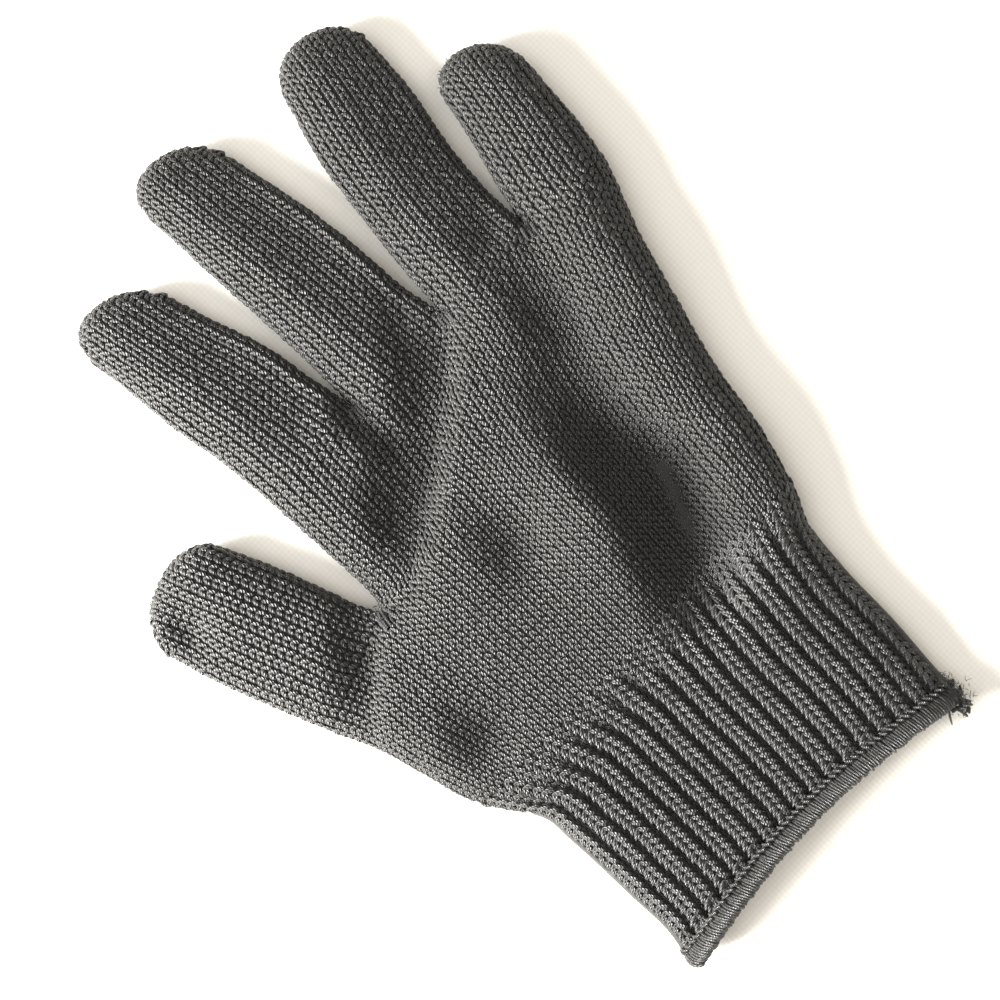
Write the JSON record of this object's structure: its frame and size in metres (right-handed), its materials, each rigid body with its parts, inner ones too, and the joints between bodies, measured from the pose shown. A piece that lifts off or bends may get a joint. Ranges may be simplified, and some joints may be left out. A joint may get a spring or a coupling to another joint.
{
  "type": "cut resistant glove",
  "caption": "Seamless knitted cut resistant work glove, palm up, with ribbed cuff, overlocked hem and sleeves that fold at the joints of a hand",
  "frame": {"origin": "on the flat back, under the middle of the palm", "axes": "+Y towards the fingertips, +Z out of the palm, +X towards the little finger"},
  "size_m": [0.1723, 0.2457, 0.0128],
  "materials": {
    "plain_knit": "plain knit of charcoal yarn with a steel core, dull",
    "rib_knit": "ribbed knit of the same yarn",
    "hem_thread": "dense overlock thread with a faint shine",
    "linking_yarn": "knotted yarn ends",
    "elastic": "covered elastic thread"
  },
  "bodies": {
    "palm": {"palm_lower": "plain_knit", "rib_band": "rib_knit", "thumb_index_join": "linking_yarn"},
    "knuckles": {"palm_upper": "plain_knit", "index_middle_join": "linking_yarn", "middle_ring_join": "linking_yarn", "ring_little_join": "linking_yarn"},
    "cuff": {"cuff_rib": "rib_knit", "cuff_elastic": "elastic", "hem_overlock": "hem_thread", "overlock_tail": "hem_thread"},
    "index_base": {"index_base_sleeve": "plain_knit"},
    "index_mid": {"index_mid_sleeve": "plain_knit"},
    "index_tip": {"index_tip_sleeve": "plain_knit", "index_tip_closing": "linking_yarn"},
    "middle_base": {"middle_base_sleeve": "plain_knit"},
    "middle_mid": {"middle_mid_sleeve": "plain_knit"},
    "middle_tip": {"middle_tip_sleeve": "plain_knit", "middle_tip_closing": "linking_yarn"},
    "ring_base": {"ring_base_sleeve": "plain_knit"},
    "ring_mid": {"ring_mid_sleeve": "plain_knit"},
    "ring_tip": {"ring_tip_sleeve": "plain_knit", "ring_tip_closing": "linking_yarn"},
    "little_base": {"little_base_sleeve": "plain_knit"},
    "little_mid": {"little_mid_sleeve": "plain_knit"},
    "little_tip": {"little_tip_sleeve": "plain_knit", "little_tip_closing": "linking_yarn"},
    "thumb_base": {"thumb_base_sleeve": "plain_knit"},
    "thumb_tip": {"thumb_tip_sleeve": "plain_knit", "thumb_tip_closing": "linking_yarn"}
  },
  "joints": [
    {"name": "wrist_fold", "type": "hinge", "parent": "palm", "child": "cuff", "pos_m": [0, -0.04, 0.006], "axis": [-1, 0, 0], "range_deg": [-40, 60]},
    {"name": "palm_fold", "type": "hinge", "parent": "palm", "child": "knuckles", "pos_m": [0, 0.024, 0.0085], "axis": [1, 0, 0], "range_deg": [0, 35]},
    {"name": "index_root_fold", "type": "hinge", "parent": "knuckles", "child": "index_base", "pos_m": [-0.0241, 0.07, 0.0085], "axis": [1, 0, 0], "range_deg": [0, 75]},
    {"name": "index_mid_fold", "type": "hinge", "parent": "index_base", "child": "index_mid", "pos_m": [-0.0274, 0.08973, 0.0085], "axis": [0.9863, 0.165, 0], "range_deg": [0, 85]},
    {"name": "index_tip_fold", "type": "hinge", "parent": "index_mid", "child": "index_tip", "pos_m": [-0.03054, 0.10847, 0.0085], "axis": [0.9863, 0.165, 0], "range_deg": [0, 55]},
    {"name": "middle_root_fold", "type": "hinge", "parent": "knuckles", "child": "middle_base", "pos_m": [0.0079, 0.07, 0.0085], "axis": [1, 0, 0], "range_deg": [0, 75]},
    {"name": "middle_mid_fold", "type": "hinge", "parent": "middle_base", "child": "middle_mid", "pos_m": [0.00617, 0.09193, 0.0085], "axis": [0.9969, 0.0785, 0], "range_deg": [0, 85]},
    {"name": "middle_tip_fold", "type": "hinge", "parent": "middle_mid", "child": "middle_tip", "pos_m": [0.00437, 0.11486, 0.0085], "axis": [0.9969, 0.0785, 0], "range_deg": [0, 55]},
    {"name": "ring_root_fold", "type": "hinge", "parent": "knuckles", "child": "ring_base", "pos_m": [0.0394, 0.07, 0.0085], "axis": [1, 0, 0], "range_deg": [0, 75]},
    {"name": "ring_mid_fold", "type": "hinge", "parent": "ring_base", "child": "ring_mid", "pos_m": [0.04303, 0.0917, 0.0085], "axis": [0.9863, -0.165, 0], "range_deg": [0, 85]},
    {"name": "ring_tip_fold", "type": "hinge", "parent": "ring_mid", "child": "ring_tip", "pos_m": [0.04666, 0.1134, 0.0085], "axis": [0.9863, -0.165, 0], "range_deg": [0, 55]},
    {"name": "little_root_fold", "type": "hinge", "parent": "knuckles", "child": "little_base", "pos_m": [0.0691, 0.07, 0.0085], "axis": [1, 0, 0], "range_deg": [0, 75]},
    {"name": "little_mid_fold", "type": "hinge", "parent": "little_base", "child": "little_mid", "pos_m": [0.07147, 0.08278, 0.0085], "axis": [0.9833, -0.1822, 0], "range_deg": [0, 85]},
    {"name": "little_tip_fold", "type": "hinge", "parent": "little_mid", "child": "little_tip", "pos_m": [0.07384, 0.09556, 0.0085], "axis": [0.9833, -0.1822, 0], "range_deg": [0, 55]},
    {"name": "thumb_root_fold", "type": "hinge", "parent": "palm", "child": "thumb_base", "pos_m": [-0.05624, 0.01812, 0.0085], "axis": [0.9367, 0.3502, 0], "range_deg": [0, 60]},
    {"name": "thumb_tip_fold", "type": "hinge", "parent": "thumb_base", "child": "thumb_tip", "pos_m": [-0.06569, 0.04341, 0.0085], "axis": [0.9367, 0.3502, 0], "range_deg": [0, 60]}
  ]
}
